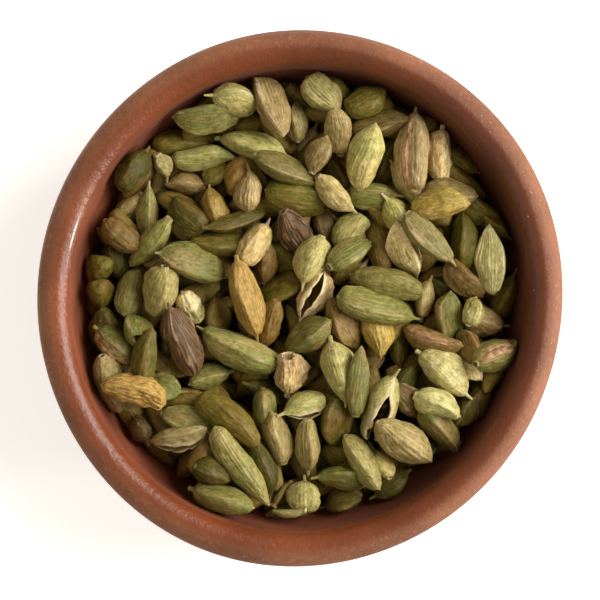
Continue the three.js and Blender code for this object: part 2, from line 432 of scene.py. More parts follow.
class Pod:
    """A dried capsule with three faces, in its own frame: the stem at x = 0, the tip on +X and Z up."""

    def __init__(self, number, length, width, ribs=1, tone=0.5, **features):
        self.draw = draw = np.random.default_rng(number)
        self.length = length
        self.width = width
        self.ribs = ribs
        self.split = math.radians(features.get("split", 0))
        self.facing = math.radians(features.get("facing", 90))
        self.mouth = features.get("mouth", (0.0, 1.0))
        self.open_end = features.get("open")
        self.knobs = features.get("knobs", 0.0)
        self.cap = features.get("cap", 0.0)
        self.rough = features.get("rough", 0.0)
        self.tone = tone
        self.stem_width = draw.uniform(0.30, 0.58)
        self.tip_width = draw.uniform(0.14, 0.36)
        self.shoulder = draw.uniform(0.30, 0.50)
        self.taper = draw.uniform(0.46, 0.62)
        self.bulge = draw.uniform(0.70, 1.10, 2)
        self.face_turns = np.radians([30, 150, 270]) + draw.uniform(-0.25, 0.25, 3)
        self.face_reach = draw.uniform(0.88, 1.12, 3)
        self.face_sway = draw.uniform(-0.09, 0.09, 3)
        self.face_phase = draw.uniform(0, 6.3, 3)
        self.crispness = draw.uniform(1.9, 4.2)
        self.roundness = draw.uniform(0.32, 0.72)
        self.arch = draw.uniform(-0.01, 0.04) * length
        self.bow = features.get("bow", 0) * PIXEL + draw.uniform(-0.035, 0.035) * length
        self.sway = draw.uniform(-0.025, 0.025) * length
        self.hook = draw.uniform(-0.0009, 0.0009)
        self.twist = draw.uniform(-0.5, 0.5)
        tip_draw, stem_draw = draw.random(2)
        self.tip = features.get("tip", "beak" if tip_draw < BEAKED else "point")
        no_collar = "stalk" if stem_draw < COLLARED_OR_STALKED else "plain"
        self.stem = features.get("stem", "collar" if stem_draw < COLLARED else no_collar)
        self.beak = (draw.uniform(*BEAK_LENGTHS) if self.tip == "beak" else POINT_LENGTH) / length
        if self.open_end == "tip":
            self.tip_width, self.beak = OPEN_TIP_WIDTH, 0.0001
        if self.open_end == "stem":
            self.stem_width = OPEN_STEM_WIDTH
        self.neck = NECK_LENGTHS[self.stem] / length
        if features.get("upright"):
            self.roundness, self.crispness = 0.5, 2.6
            self.tip_width, self.bulge = 0.42, (0.6, 0.7)
            self.beak = 0.0002 / length
        self.place = np.zeros(3)
        self.heading = 0.0
        self.pitch = 0.0
        self.roll = 0.0

    def half_width(self):
        """What a distance of one is in metres, so that the widest place has the pod's width."""
        turns = np.linspace(0, 2 * math.pi, 90)
        sideways = self.section(0.5, turns) * np.cos(turns)
        return self.width / (sideways.max() - sideways.min())

    def section(self, along, around):
        """How far the skin is from the axis all round, for a mean of about one."""
        reach = 0
        for turn, far, sway, phase in zip(self.face_turns, self.face_reach, self.face_sway, self.face_phase):
            facing = np.cos(around - turn - self.roll - self.twist * (along - 0.5))
            distance = far * (1 + sway * np.cos(4 * along + phase))
            reach = reach + (np.maximum(facing, 0) / distance) ** self.crispness
        flat = reach ** (-1 / self.crispness)
        return flat + (1.24 - flat) * self.roundness

    def fullness(self, along):
        """The half width from stem to tip, as a share of the widest."""
        share = np.clip((along - self.neck) / (1 - self.neck - self.beak), 0, 1)
        rise = np.sin(math.pi / 2 * np.clip(share / self.shoulder, 0, 1)) ** self.bulge[0]
        fall = np.cos(math.pi / 2 * np.clip((share - self.taper) / (1 - self.taper), 0, 1)) ** self.bulge[1]
        blunt = self.stem_width + (1 - self.stem_width) * rise
        blunt = blunt * (self.tip_width + (1 - self.tip_width) * fall)
        stem_cap = np.sqrt(1 - (1 - np.clip(share / 0.07, 0, 1)) ** 2)
        tip_cap = np.sqrt(1 - (1 - np.clip((1 - share) / 0.06, 0, 1)) ** 2)
        if self.open_end == "tip":
            tip_cap = np.maximum(tip_cap, 0.85)
        if self.open_end == "stem":
            stem_cap = np.maximum(stem_cap, 0.85)
        return blunt * stem_cap * tip_cap

    def spine(self, along):
        """The middle line of the pod."""
        middle = 4 * along * (1 - along)
        side = self.bow * middle + self.hook * smooth_step(0.7, 1.0, along)
        side = side + self.sway * np.sin(2 * math.pi * along)
        return np.stack(np.broadcast_arrays(along * self.length, side, self.arch * middle), -1)

    def body(self, along, around, raised=0.0):
        """The skin's points for shares along and angles around, with a raised share of the radius."""
        full = self.fullness(along)
        half = self.half_width()
        shape = 1.15 + (self.section(along, around) - 1.15) * full**0.4
        radius = half * full * (shape + raised)
        stem_neck = COLLAR_RADIUS if self.stem == "collar" else STALK_RADIUS
        neck = stem_neck * smooth_step(self.neck + 0.06, self.neck, along)
        neck = neck + BEAK_RADIUS * smooth_step(1 - self.beak - 0.12, 1 - self.beak, along)
        thinner = 0.35 if self.tip == "beak" else 0.5
        neck = neck * (1 - thinner * smooth_step(1 - self.beak, 1, along))
        radius = np.sqrt(radius**2 + (neck * (1 + 2 * raised)) ** 2)
        outward = np.stack(np.broadcast_arrays(0 * around, np.cos(around), np.sin(around)), -1)
        return self.spine(along) + radius[..., None] * outward

    def placed(self, points):
        """Points of the pod's own frame where the pod lies."""
        x = points[..., 0] - self.length / 2
        y, z = points[..., 1], points[..., 2]
        level = x * math.cos(self.pitch) - z * math.sin(self.pitch)
        up = x * math.sin(self.pitch) + z * math.cos(self.pitch)
        cos, sin = math.cos(self.heading), math.sin(self.heading)
        return np.stack([level * cos - y * sin, level * sin + y * cos, up], -1) + self.place


REST_RINGS = 26
REST_SPOKES = 40
REST_ALONG = (1 - np.cos(np.linspace(0.05, math.pi - 0.05, REST_RINGS)))[:, None] / 2
REST_AROUND = np.linspace(0, 2 * math.pi, REST_SPOKES, endpoint=False)[None]


def cells(points):
    """The cells of the bed under points."""
    return tuple(((points[:, :2].T + DISH_RADIUS) / BED_STEP).astype(int))


def height_to_rest(points):
    """How far points go up to lie on the bed, with a few of them pressed in, as dry skins give."""
    spare = bed[cells(points)] - points[:, 2]
    pressed = int(len(spare) * SKIN_GIVES)
    return np.partition(spare, -pressed - 1)[-pressed - 1]


def slides(place):
    """Where a pod may slip to as it falls: nowhere, a little to any side, or away from the wall."""
    inward = -place / max(math.hypot(*place), BED_STEP)
    sideways = np.array([-inward[1], inward[0]])
    moves = [0 * inward, inward, 2 * inward, -inward, sideways, -sideways]
    return [SLIDE_STEP * np.array([*move, 0.0]) for move in moves]


def lay(pod, seen_length, tilts, rolls):
    """Sets the tilt, roll and slide that bring the pod lowest."""
    best = None
    pod.place[2] = 0
    moves = slides(pod.place[:2])
    for tilt in tilts:
        for roll in rolls:
            pod.pitch = tilt
            pod.roll = roll
            pod.length = seen_length / math.cos(tilt)
            points = pod.placed(pod.body(REST_ALONG, REST_AROUND)).reshape(-1, 3)
            for move in moves:
                lift = height_to_rest(points + move)
                cost = lift + SLIDE_COST * math.hypot(*move)
                if best is None or cost < best[0]:
                    best = (cost, tilt, roll, move + [0, 0, lift], points)
    pod.pitch, pod.roll, move, points = best[1:]
    pod.length = seen_length / math.cos(pod.pitch)
    pod.place = pod.place + move
    return points + move


def settle(points):
    """Makes a pod that lies still part of the bed."""
    np.maximum.at(bed, cells(points), points[:, 2])


# Loose pods are dropped at random first, and again under the upper pods, wherever there is room
# below a level. They are all copies of one plain capsule.
LOOSE_SEED = 7
LOOSE_LENGTH = 0.015
LOOSE_WIDTH = 0.0064
LOOSE_SIZES = (0.82, 1.12)
LOOSE_REACH = 0.0505
LOOSE_TILTS = np.radians([-24, -12, 0, 12, 24])
DEEP_TRIES = 1500
DEEP_LEVEL = 0.0222
GAP_TRIES = 1800
GAP_LEVEL = 0.0268
RISE_AT_WALL = 0.0032

loose_draw = np.random.default_rng(LOOSE_SEED)
loose_pods = []


def loose_pod(grown, thick):
    """The plain capsule, straight and without a beak, at a share of its length and width."""
    pod = Pod(LOOSE_SEED, LOOSE_LENGTH * grown, LOOSE_WIDTH * thick, stem="plain", tip="point")
    pod.arch = pod.bow = pod.sway = pod.hook = pod.twist = 0.0
    return pod


def fill_up(tries, level):
    """Drops loose pods at random and keeps those that come to lie below a level."""
    for attempt in range(tries):
        radius = LOOSE_REACH * math.sqrt(loose_draw.random())
        angle = 2 * math.pi * loose_draw.random()
        heading = 2 * math.pi * loose_draw.random()
        grown, thick = loose_draw.uniform(*LOOSE_SIZES, 2)
        lean = 2 * math.pi * loose_draw.random()
        top = level + RISE_AT_WALL * (radius / INNER_RADIUS) ** 5
        place = np.array([radius * math.cos(angle), radius * math.sin(angle), 0.0])
        if bed[cells(place[None])][0] + LOOSE_WIDTH * thick / 2 > top:
            continue
        pod = loose_pod(grown, thick)
        pod.place = place
        pod.heading = heading
        points = lay(pod, pod.length * 0.96, LOOSE_TILTS, [lean])
        if points[:, 2].max() < top:
            settle(points)
            loose_pods.append(pod)


# How light a pod is beside the others of its kind: a share of the way from the kind's dark colour
# (0) to its light one (1), and beyond. Besides the pod's own colour, a tone holds painted light and painted
#     shade for where the pod lies in the heap.
TONES = {"deep": -0.4, "dull": 0.1, "mid": 0.6, "light": 1.1, "bright": 1.6}
GAPING = {"split": 62, "facing": 108, "mouth": (-0.45, 0.68), "open": "stem", "tip": "beak"}

# A row holds a pod's tip and stem end in the photograph, its width there, its kind, how deep its
# ribs are, from 0 to 3, its tone, and what else sets it apart.
LOW_PODS = [
    ((216, 137), (152, 144), 26, "dark", 0, "bright"),
    ((165, 182), (208, 184), 21, "tan", 1, "dull", {"stem": "collar"}),
    ((150, 195), (112, 218), 26, "tan", 2, "light"),
    ((122, 280), (110, 246), 28, "dark", 0, "dull"),
    ((104, 259), (92, 279), 25, "dark", 2, "bright", {"rough": 0.03}),
    ((102, 285), (98, 301), 23, "dark", 1, "light"),
    ((98, 306), (112, 352), 32, "dark", 0, "dull"),
    ((190, 305), (146, 320), 17, "dark", 1, "deep"),
    ((168, 372), (166, 330), 18, "green", 0, "bright"),
    ((132, 410), (150, 445), 20, "brown", 1, "deep"),
    ((168, 457), (200, 440), 20, "dark", 0, "deep"),
    ((176, 475), (208, 450), 24, "brown", 1, "dull"),
    ((316, 117), (283, 84), 22, "dark", 0, "bright"),
    ((318, 118), (303, 168), 26, "tan", 1, "bright"),
    ((270, 121), (228, 128), 24, "dark", 0, "bright"),
    ((236, 160), (205, 184), 22, "dark", 0, "light"),
    ((245, 155), (236, 200), 34, "brown", 2, "bright"),
    ((277, 255), (279, 214), 20, "dark", 0, "bright"),
    ((272, 244), (304, 280), 22, "dark", 0, "light"),
    ((258, 300), (304, 278), 24, "dark", 1, "bright"),
    ((211, 298), (217, 343), 27, "brown", 1, "bright"),
    ((230, 397), (264, 364), 22, "dark", 0, "bright"),
    ((244, 380), (284, 403), 22, "dark", 1, "deep"),
    ((205, 434), (205, 478), 30, "brown", 2, "bright"),
    ((265, 516), (310, 509), 16, "green", 1, "deep"),
    ((356, 108), (321, 77), 26, "dark", 0, "bright"),
    ((403, 131), (376, 190), 26, "dark", 1, "light"),
    ((332, 156), (347, 199), 22, "brown", 1, "dull"),
    ((370, 210), (385, 272), 24, "brown", 1, "light"),
    ((325, 268), (364, 290), 22, "dark", 0, "deep"),
    ((317, 208), (333, 246), 24, "brown", 1, "deep"),
    ((322, 293), (354, 325), 26, "brown", 1, "mid"),
    ((404, 372), (397, 320), 18, "dark", 0, "bright"),
    ((320, 449), (357, 458), 24, "dark", 0, "bright"),
    ((319, 512), (362, 495), 23, "dark", 1, "dull"),
    ((370, 500), (412, 470), 26, "dark", 1, "dull"),
    ((481, 174), (444, 145), 20, "dark", 0, "bright"),
    ((446, 169), (486, 198), 20, "dark", 1, "bright"),
    ((510, 227), (462, 196), 30, "dark", 0, "bright"),
    ((514, 238), (486, 216), 18, "dark", 0, "bright"),
    ((515, 268), (499, 318), 24, "dark", 0, "bright"),
    ((460, 267), (420, 287), 20, "brown", 1, "light"),
    ((498, 370), (468, 415), 28, "dark", 0, "deep"),
    ((477, 393), (453, 425), 22, "dark", 0, "deep"),
    ((368, 256), (353, 289), 18, "tan", 1, "dull"),
    ((430, 281), (466, 292), 18, "dark", 0, "deep"),
    ((436, 440), (402, 462), 24, "dark", 0, "deep"),
    ((232, 478), (196, 462), 24, "dark", 0, "deep"),
]
MIDDLE_PODS = [
    ((173, 121), (240, 116), 27, "green", 0, "dull"),
    ((147, 145), (120, 190), 27, "dark", 1, "deep"),
    ((165, 176), (152, 149), 17, "straw", 1, "dull"),
    ((151, 181), (146, 240), 22, "pale", 1, "dull", {"tip": "beak"}),
    ((140, 252), (104, 220), 28, "brown", 2, "mid"),
    ((140, 264), (124, 316), 30, "green", 1, "light"),
    ((198, 240), (143, 264), 20, "tan", 1, "deep", {"bow": -4}),
    ((138, 363), (94, 326), 30, "green", 1, "deep", {"knobs": 0.7, "facing": 135}),
    ((139, 336), (132, 318), 27, "green", 2, "dull", {"open": "tip", "rough": 0.03}),
    ((122, 412), (103, 353), 32, "tan", 2, "mid"),
    ((187, 394), (150, 382), 25, "green", 1, "dull", {"open": "stem"}),
    ((232, 431), (160, 414), 27, "green", 0, "mid"),
    ((150, 440), (207, 428), 24, "straw", 1, "mid", {"split": 40, "facing": 10}),
    ((292, 100), (298, 142), 21, "straw", 3, "dull"),
    ((334, 207), (265, 190), 34, "dark", 0, "light"),
    ((167, 198), (207, 230), 33, "dark", 1, "dull"),
    ((207, 186), (217, 230), 25, "gold", 1, "dull"),
    ((190, 246), (246, 243), 24, "dark", 1, "mid"),
    ((270, 242), (262, 284), 21, "brown", 3, "mid", {"stem": "collar"}),
    ((312, 256), (282, 210), 30, "withered", 3, "deep", {"rough": 0.06}),
    ((298, 322), (324, 271), 30, "husky", 2, "dull", {"split": 36, "facing": 85, "rough": 0.07}),
    ((264, 349), (277, 299), 26, "brown", 0, "light"),
    ((188, 386), (233, 371), 24, "green", 0, "light"),
    ((268, 436), (263, 388), 24, "green", 1, "mid"),
    ((268, 412), (283, 466), 27, "straw", 1, "dull", {"stem": "collar"}),
    ((256, 503), (190, 484), 28, "green", 0, "mid"),
    ((271, 505), (252, 437), 27, "dark", 1, "deep"),
    ((308, 476), (304, 514), 32, "pale", 2, "light", {"rough": 0.04}),
    ((289, 480), (272, 508), 7, "brown", 1, "dull"),
    ((272, 512), (306, 509), 8, "cream", 1, "mid", {"bow": 4}),
    ((389, 88), (347, 110), 30, "dark", 0, "light"),
    ((412, 113), (352, 130), 24, "brown", 0, "dull"),
    ((393, 158), (424, 208), 24, "tan", 2, "bright"),
    ((404, 196), (348, 190), 26, "green", 1, "light"),
    ((362, 214), (333, 252), 28, "pale", 1, "mid", {"open": "tip"}),
    ((431, 275), (422, 322), 18, "straw", 2, "light"),
    ((357, 349), (330, 300), 29, "brown", 0, "light"),
    ((384, 358), (370, 308), 30, "gold", 2, "bright"),
    ((414, 364), (386, 406), 20, "dark", 1, "dull"),
    ((479, 382), (446, 343), 22, "husky", 1, "bright"),
    ((423, 418), (392, 384), 26, "brown", 1, "deep"),
    ((330, 446), (338, 396), 31, "dark", 0, "mid"),
    ((311, 478), (374, 478), 24, "green", 0, "dull"),
    ((370, 443), (391, 478), 20, "pale", 1, "bright", {"stem": "collar"}),
    ((440, 182), (445, 122), 27, "husky", 0, "bright"),
    ((478, 196), (423, 190), 26, "tan", 1, "dull"),
    ((467, 213), (461, 275), 27, "dark", 1, "mid"),
    ((481, 299), (448, 260), 25, "brown", 0, "mid"),
    ((447, 291), (448, 340), 28, "green", 1, "dull"),
    ((512, 330), (465, 315), 30, "tan", 1, "mid"),
    ((463, 328), (479, 364), 22, "brown", 1, "light"),
    ((465, 456), (425, 412), 27, "green", 2, "deep"),
]
TOP_PODS = [
    ((232, 155), (168, 158), 24, "pale", 1, "mid", {"bow": 2}),
    ((131, 268), (170, 217), 24, "green", 0, "light", {"bow": 3}),
    ((156, 254), (225, 275), 34, "green", 1, "dull", {"rough": 0.03}),
    ((158, 310), (166, 262), 35, "pale", 1, "mid", {"open": "tip"}),
    ((177, 292), (195, 323), 26, "pale", 1, "dull", {"cap": 0.5, "rough": 0.05, "tip": "point"}),
    ((166, 304), (192, 374), 33, "withered", 3, "bright", {"rough": 0.06}),
    ((151, 327), (143, 393), 24, "dark", 2, "mid"),
    ((103, 381), (166, 403), 27, "gold", 2, "light", {"rough": 0.13, "bow": -5}),
    ((203, 88), (258, 100), 33, "pale", 0, "light", {"tip": "beak"}),
    ((281, 138), (261, 77), 33, "tan", 3, "dull"),
    ((285, 150), (213, 133), 28, "pale", 0, "light"),
    ((322, 188), (254, 155), 27, "green", 0, "deep"),
    ((249, 163), (247, 212), 26, "tan", 3, "mid", {"tip": "beak"}),
    ((203, 231), (264, 212), 17, "dark", 0, "dull"),
    ((268, 217), (242, 266), 28, "tan", 1, "bright"),
    ((255, 345), (236, 255), 31, "gold", 3, "mid"),
    ((300, 290), (323, 235), 34, "pale", 1, "light"),
    ((192, 331), (277, 368), 34, "pale", 0, "dull"),
    ((262, 441), (197, 397), 32, "dark", 0, "bright", {"bow": 3}),
    ((271, 505), (215, 426), 28, "pale", 2, "dull"),
    ((331, 320), (287, 352), 34, "green", 0, "dull"),
    ((292, 356), (287, 398), 33, "husky", 2, "dull", {"open": "tip", "rough": 0.09}),
    ((277, 419), (326, 402), 28, "pale", 1, "light", {"split": 30, "facing": 14}),
    ((310, 477), (308, 418), 25, "straw", 3, "dull"),
    ((343, 117), (307, 75), 33, "straw", 3, "dull"),
    ((338, 108), (342, 154), 26, "straw", 2, "mid", {"stem": "collar"}),
    ((373, 123), (359, 190), 33, "pale", 3, "bright"),
    ((421, 106), (414, 192), 35, "husky", 2, "deep", {"tip": "beak", "knobs": 0.8, "facing": 45}),
    ((326, 135), (312, 174), 24, "tan", 2, "deep"),
    ((355, 214), (317, 175), 24, "straw", 0, "bright"),
    ((384, 192), (405, 228), 27, "cream", 2, "bright", {"tip": "beak"}),
    ((417, 280), (397, 222), 29, "husky", 2, "bright"),
    ((371, 240), (328, 268), 26, "green", 2, "dull", {"stem": "collar"}),
    ((422, 317), (337, 297), 34, "green", 1, "mid"),
    ((350, 273), (424, 293), 30, "green", 0, "mid"),
    ((344, 408), (330, 336), 34, "pale", 3, "light", {"stem": "stalk"}),
    ((362, 346), (355, 418), 22, "green", 1, "dull"),
    ((399, 369), (370, 437), 30, "pale", 1, "mid", GAPING),
    ((462, 350), (405, 328), 24, "brown", 0, "light", {"bow": -3, "knobs": 0.6, "facing": 80}),
    ((474, 397), (417, 351), 36, "cream", 0, "mid"),
    ((461, 414), (413, 395), 28, "cream", 1, "mid", {"stem": "collar"}),
    ((431, 465), (376, 421), 37, "straw", 3, "mid"),
    ((381, 489), (345, 436), 27, "pale", 1, "mid"),
    ((469, 202), (412, 208), 30, "gold", 0, "light"),
    ((493, 224), (495, 294), 30, "cream", 3, "light"),
    ((453, 268), (405, 212), 27, "straw", 3, "deep"),
    ((480, 298), (468, 326), 21, "cream", 2, "dull", {"rough": 0.05}),
    ((522, 342), (476, 365), 33, "green", 2, "mid", {"stem": "collar", "knobs": 1.0, "facing": 75}),
]
# How high a layer lies, how much thicker its pods are than what shows of them, and how fine their
# skins are.
LOW_LAYER = {"height": 0.0255, "grown": 1.12, "rings": 22, "spokes": 48}
MIDDLE_LAYER = {"height": 0.0285, "grown": 1.06, "rings": 32, "spokes": 76}
TOP_LAYER = {"height": 0.0315, "grown": 1.02, "rings": 40, "spokes": 104}
# A pod that shows shorter than the first length stands on end, and is as long as the second.
END_ON = 0.006
END_ON_LENGTH = 0.0098
ROLL_SPREAD = math.radians(22)
TILTS = np.radians(np.arange(-30, 31, 6))
ROLLS = np.radians([-15, 0, 15])


def seen_at(pixel, height):
    """The place at a height that shows at a pixel."""
    across, down = pixel
    reach = PIXEL * (CAMERA_HEIGHT - height) / (CAMERA_HEIGHT - LIP_HEIGHT)
    return np.array([CAMERA_X + (across - MIDDLE_PIXEL) * reach, CAMERA_Y + (MIDDLE_PIXEL - down) * reach])


kinds = {}


def lay_rows(rows, height, grown, rings, spokes):
    """Lays the pods of one layer, one after the other."""
    for tip, stem, width, kind, ribs, tone, *more in rows:
        number = sum(len(pods) for pods in kinds.values()) + 1
        features = more[0] if more else {}
        tip_at, stem_at = seen_at(tip, height), seen_at(stem, height)
        long = tip_at - stem_at
        seen_length = math.hypot(*long)
        upright = seen_length < END_ON
        length = END_ON_LENGTH if upright else seen_length
        pod = Pod(number, length, width * PIXEL * grown, ribs, TONES[tone], upright=upright, **features)
        pod.place = np.array([*(tip_at + stem_at) / 2, 0.0])
        pod.heading = math.atan2(long[1], long[0])
        pod.rings, pod.spokes = rings, spokes
        lean = ROLL_SPREAD * pod.draw.uniform(-1, 1)
        if upright:
            points = lay(pod, seen_length, [math.acos(seen_length / END_ON_LENGTH)], [lean])
        else:
            points = lay(pod, seen_length, TILTS, lean + ROLLS)
        settle(points)
        kinds.setdefault(kind, []).append(pod)


fill_up(DEEP_TRIES, DEEP_LEVEL)
lay_rows(LOW_PODS, **LOW_LAYER)
fill_up(GAP_TRIES, GAP_LEVEL)
lay_rows(MIDDLE_PODS, **MIDDLE_LAYER)
lay_rows(TOP_PODS, **TOP_LAYER)

# ---------------------------------------------------------------------------------------------
# The loose pods underneath: dried capsules that show only in the gaps. They are copies of one
# plain capsule, which Geometry Nodes set where each came to lie.
LOOSE_RINGS = 7
LOOSE_SPOKES = 10
LOOSE_LIGHT = (140, 120, 56)
LOOSE_DARK = (102, 85, 38)
LOOSE_WORN = (150, 126, 78)
LOOSE_RIB = (146, 130, 74)
SEED_COLOUR = (196, 158, 122)
RIM_COLOUR = (226, 210, 164)
# How much darker a pod's colour is painted in its hollows, as painted shade.
HOLLOW_PAINTED_SHADE = np.array([0.62, 0.72, 0.80])


def lumps(along, around, knots_along, knots_around, draw):
    """Soft random relief from -1 to 1 over a skin, which closes on itself around."""
    knots = draw.uniform(-1, 1, (knots_along + 1, knots_around))
    place_along = along * knots_along
    place_around = (around / (2 * math.pi) % 1) * knots_around
    row = np.minimum(place_along.astype(int), knots_along - 1)
    column = place_around.astype(int) % knots_around
    down = smooth_step(0, 1, place_along - row)
    over = smooth_step(0, 1, place_around - place_around.astype(int))
    beside = (column + 1) % knots_around
    upper = knots[row, column] * (1 - over) + knots[row, beside] * over
    lower = knots[row + 1, column] * (1 - over) + knots[row + 1, beside] * over
    return upper * (1 - down) + lower * down


# The relief of a skin, in shares of its radius, and how many lumps each kind of it has along and
# around the pod.
RIB_COUNT = 24
RIB_DEPTHS = (0.018, 0.038, 0.064, 0.095)
RIB_DRIFT_LUMPS = (3, 5)
RIB_BREAK_LUMPS = (6, 11)
KEEL_HEIGHT = 0.068
KEEL_WIDTH = 0.11
KEEL_LUMPS = (7, 5)
SWELL = 0.055
SWELL_LUMPS = (3, 5)
BUMPS = (0.04, 0.09)
BUMP_LUMPS = (6, 7)
WRINKLE = 0.034
WRINKLE_LUMPS = (7, 17)
FINE = 0.020
FINE_LUMPS = (22, 34)
SEED_PRESS = 0.17
SEED_PRESS_LUMPS = (13, 17)
SEED_BAND = 0.6
WORN_LUMPS = (9, 7)
SHADE_LUMPS = (3, 4)
TEAR_LUMPS = (13, 2)
TEAR_RAGGED = 0.35
RIM_ROLL = 0.10
SHELL = 0.12
OUTSIDE_SHARE = 0.62
OPEN_DEPTH = 0.0035
TOP_SHARE = 0.8
TOP_FROM = math.radians(-20)
TOP_TO = math.radians(200)


def angles(pod, along, spokes):
    """The angles of a skin's points, closer on top. A split skin runs back along its inside."""
    if not pod.split:
        top = np.linspace(TOP_FROM, TOP_TO, int(spokes * TOP_SHARE), endpoint=False)
        below = np.linspace(TOP_TO, TOP_FROM + 2 * math.pi, spokes - len(top), endpoint=False)
        return np.concatenate([top, below])[None], np.zeros((1, spokes)), np.zeros((1, spokes))
    outside = int(spokes * OUTSIDE_SHARE)
    share = np.concatenate([np.linspace(0, 1, outside), np.linspace(1, 0, spokes - outside)])[None]
    low, high = pod.mouth
    gape = pod.split * np.sin(math.pi * np.clip((along - low) / (high - low), 0, 1)) ** 0.6
    first_edge, last_edge = (
        gape / 2 * (1 + TEAR_RAGGED * lumps(along, 0 * along, *TEAR_LUMPS, pod.draw)) for side in range(2)
    )
    first = pod.facing + first_edge
    last = pod.facing + 2 * math.pi - last_edge
    inside = (np.arange(spokes) >= outside)[None] * 1.0
    rim = np.exp(-(((0.5 - np.abs(share - 0.5)) / 0.05) ** 2))
    return first + (last - first) * share, inside, rim


def fine_skin(pod, rings, spokes, shrivel):
    """A pod's finished skin: its points, and marks for its ribs, its worn places and its ends."""
    draw = pod.draw
    along = (1 - np.cos(np.linspace(0, math.pi, rings + 1)[1:]))[:, None] / 2
    around, inside, rim = angles(pod, along, spokes)
    drift = 0.5 * lumps(along, around, *RIB_DRIFT_LUMPS, draw)
    rib_place = (around - pod.roll - pod.twist * (along - 0.5)) / (2 * math.pi) * RIB_COUNT + drift
    rib = np.floor(rib_place)
    heights = draw.uniform(0.1, 1.0, RIB_COUNT)[rib.astype(int) % RIB_COUNT]
    crest = heights * (0.5 - 0.5 * np.cos(2 * math.pi * (rib_place - rib))) ** 1.3
    crest = crest * np.clip(0.65 + 0.6 * lumps(along, around, *RIB_BREAK_LUMPS, draw), 0, 1)
    everywhere = np.zeros_like(crest)
    keel = 0
    for turn in pod.face_turns:
        away = np.abs((around - turn - pod.roll - pod.twist * (along - 0.5)) % (2 * math.pi) - math.pi)
        keel = keel + np.exp(-((away / KEEL_WIDTH) ** 2))
    near_end = 1 - pod.fullness(along)
    bumps = lumps(along, around, *BUMP_LUMPS, draw)
    fine = lumps(along, around, *FINE_LUMPS, draw)
    wrinkle = 1 - 2 * np.abs(lumps(along, around, *WRINKLE_LUMPS, draw))
    raised = RIB_DEPTHS[pod.ribs] * (crest - 0.3)
    raised = raised + KEEL_HEIGHT * keel * (0.7 + 0.5 * lumps(along, around, *KEEL_LUMPS, draw))
    raised = raised + (SWELL + shrivel) * lumps(along, around, *SWELL_LUMPS, draw)
    shrivel = shrivel + pod.rough
    raised = raised + (draw.uniform(*BUMPS) + 0.7 * shrivel) * bumps
    raised = raised + (WRINKLE + 0.7 * shrivel + 0.03 * near_end) * wrinkle
    raised = raised + (FINE + 0.4 * shrivel) * fine
    raised = raised + RIM_ROLL * rim
    away = (around - pod.facing + math.pi) % (2 * math.pi) - math.pi
    band = pod.knobs * np.exp(-((away / SEED_BAND) ** 2))
    band = band * smooth_step(0.04, 0.16, along) * smooth_step(0.96, 0.84, along)
    seeds = lumps(along, around, *SEED_PRESS_LUMPS, draw)
    raised = raised + band * (SEED_PRESS * seeds - 0.03)
    points = pod.body(along, around, raised)
    spine = pod.spine(along)
    points = points + (spine - points) * (SHELL * inside)[..., None]
    ends = np.stack([points[0].mean(0) - [0.0002, 0, 0], points[-1].mean(0) + [0.0002, 0, 0]])
    # The dark mark is painted shade: it darkens the inside of a split husk, the dips between the pressed-out
    # seeds, the hollow of a stem collar and the mouth of an open end.
    dark = np.clip(inside * 0.8 + band * smooth_step(0.0, -0.7, seeds), 0, 1) + everywhere
    if pod.stem == "collar":
        mouth = points[3].mean(0)
        ends[0] = mouth + [COLLAR_DEPTH, 0, 0]
        points[0] = mouth + (points[3] - mouth) * 0.45 + [COLLAR_DEPTH * 0.7, 0, 0]
        points[1] = mouth + (points[3] - mouth) * 0.62 - [0.0001, 0, 0]
        points[2] = mouth + (points[3] - mouth) * 0.90 - [0.0002, 0, 0]
        dark[0] = 1
    worn = np.clip(keel * (0.35 + 0.9 * lumps(along, around, *WORN_LUMPS, draw)), 0, 1) + 0.9 * rim
    worn = worn + everywhere
    if pod.open_end:
        last, step = (-1, -1) if pod.open_end == "tip" else (0, 1)
        mouth = points[last + 3 * step].mean(0)
        ends[last] = mouth + [step * OPEN_DEPTH, 0, 0]
        points[last] = mouth + (points[last + 2 * step] - mouth) * 0.8 + [step * 0.0005, 0, 0]
        points[last + step] = mouth + (points[last + 2 * step] - mouth) * 0.96
        dark[last] = 0.9
        worn[last + step] = 1
    rough = with_ends(ends[0], points, ends[1])
    torn_cap = smooth_step(-0.08, 0.08, along + 0.1 * bumps - 1 + pod.cap) * (pod.cap > 0)
    marks = {
        "crest": crest * RIB_DEPTHS[pod.ribs] / RIB_DEPTHS[-1],
        "worn": np.clip(worn, 0, 1) * (1 - dark),
        "near_end": (near_end + everywhere) * (1 - dark),
        "shade": 0.5 + 0.5 * lumps(along, around, *SHADE_LUMPS, draw),
        "dark": dark,
        "knob": band + everywhere,
        "cap": np.maximum(rim * (1 - inside), torn_cap),
    }
    marks = {mark: with_ends(values[0, 0], values, values[-1, 0]) for mark, values in marks.items()}
    marks["grain"] = rough / np.array([4, 1, 1]) + draw.uniform(-1, 1, 3)
    return pod.placed(rough), marks


BEYOND = 0.45


def mixed(first, second, share):
    """A colour mixed from two, for each point's share of the second."""
    return first * (1 - share) + np.array(screen(*second)) * share


